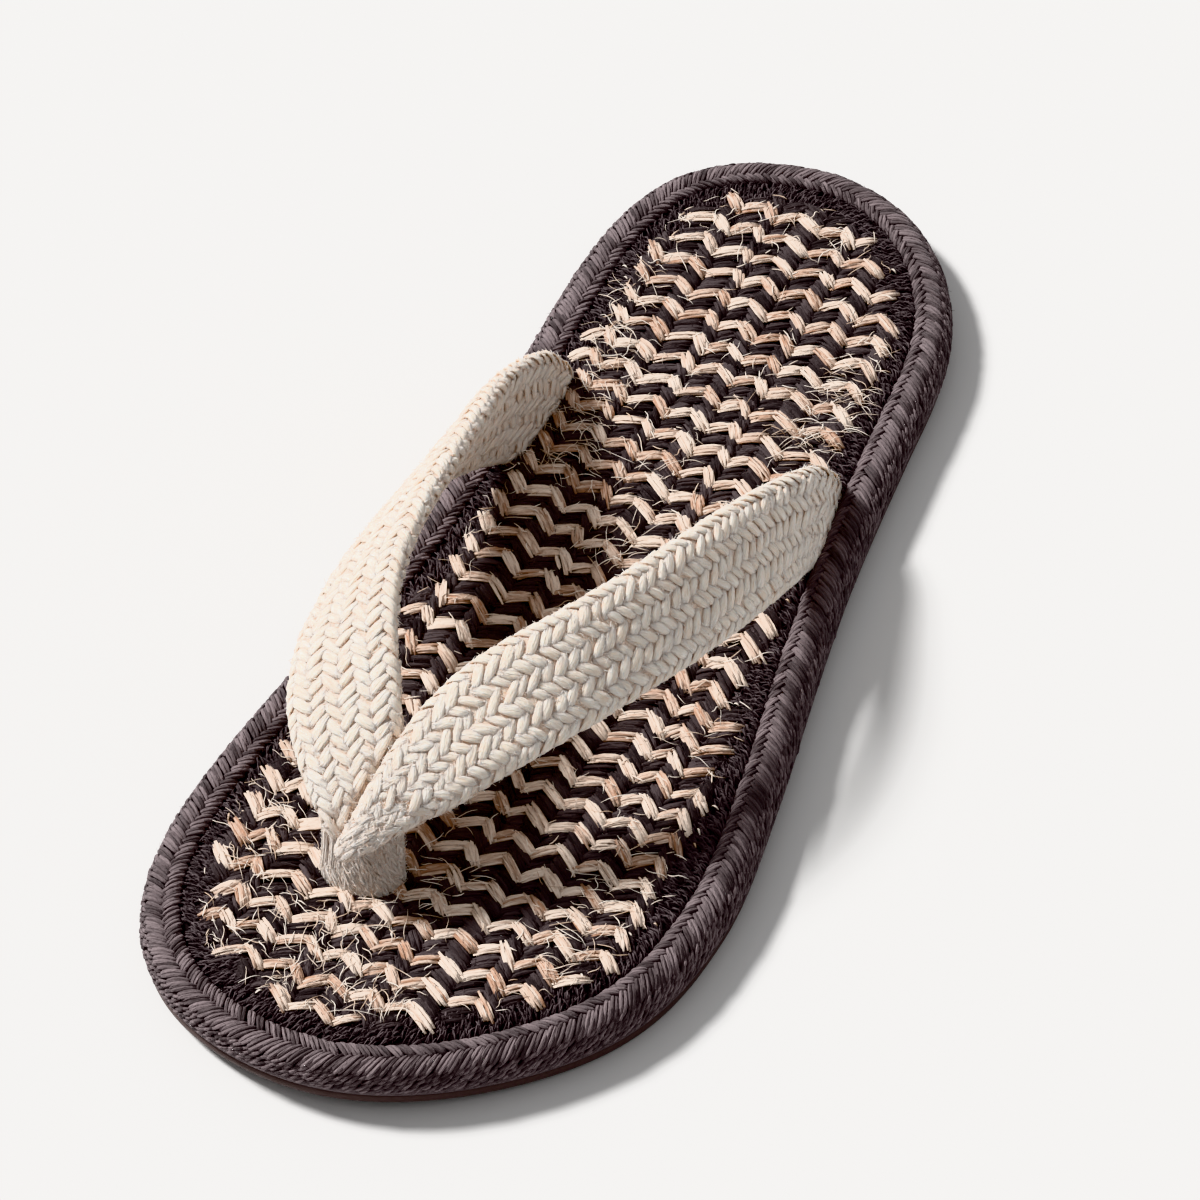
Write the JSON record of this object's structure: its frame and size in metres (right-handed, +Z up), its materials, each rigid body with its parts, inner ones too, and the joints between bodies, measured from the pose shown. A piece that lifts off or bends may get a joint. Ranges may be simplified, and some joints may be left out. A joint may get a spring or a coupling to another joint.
{
  "type": "thong slipper",
  "caption": "Soft indoor thong slipper with a woven zig-zag mat, a herringbone braided rim and padded braided straps that meet at a toe post.",
  "frame": {"origin": "on the floor, under the middle of the slipper's length and breadth", "axes": "+Z up, +Y towards the heel so the toe points along -Y, +X towards the lateral side of this left slipper"},
  "size_m": [0.1035, 0.26, 0.0452],
  "materials": {
    "outsole": "matte",
    "woven_mat": "coarse weave",
    "edge_braid": "herringbone braid",
    "straps": "soft braid"
  },
  "bodies": {
    "root": {"outsole": "outsole", "insole_mat": "woven_mat", "edge_braid": "edge_braid", "straps": "straps"}
  },
  "joints": []
}
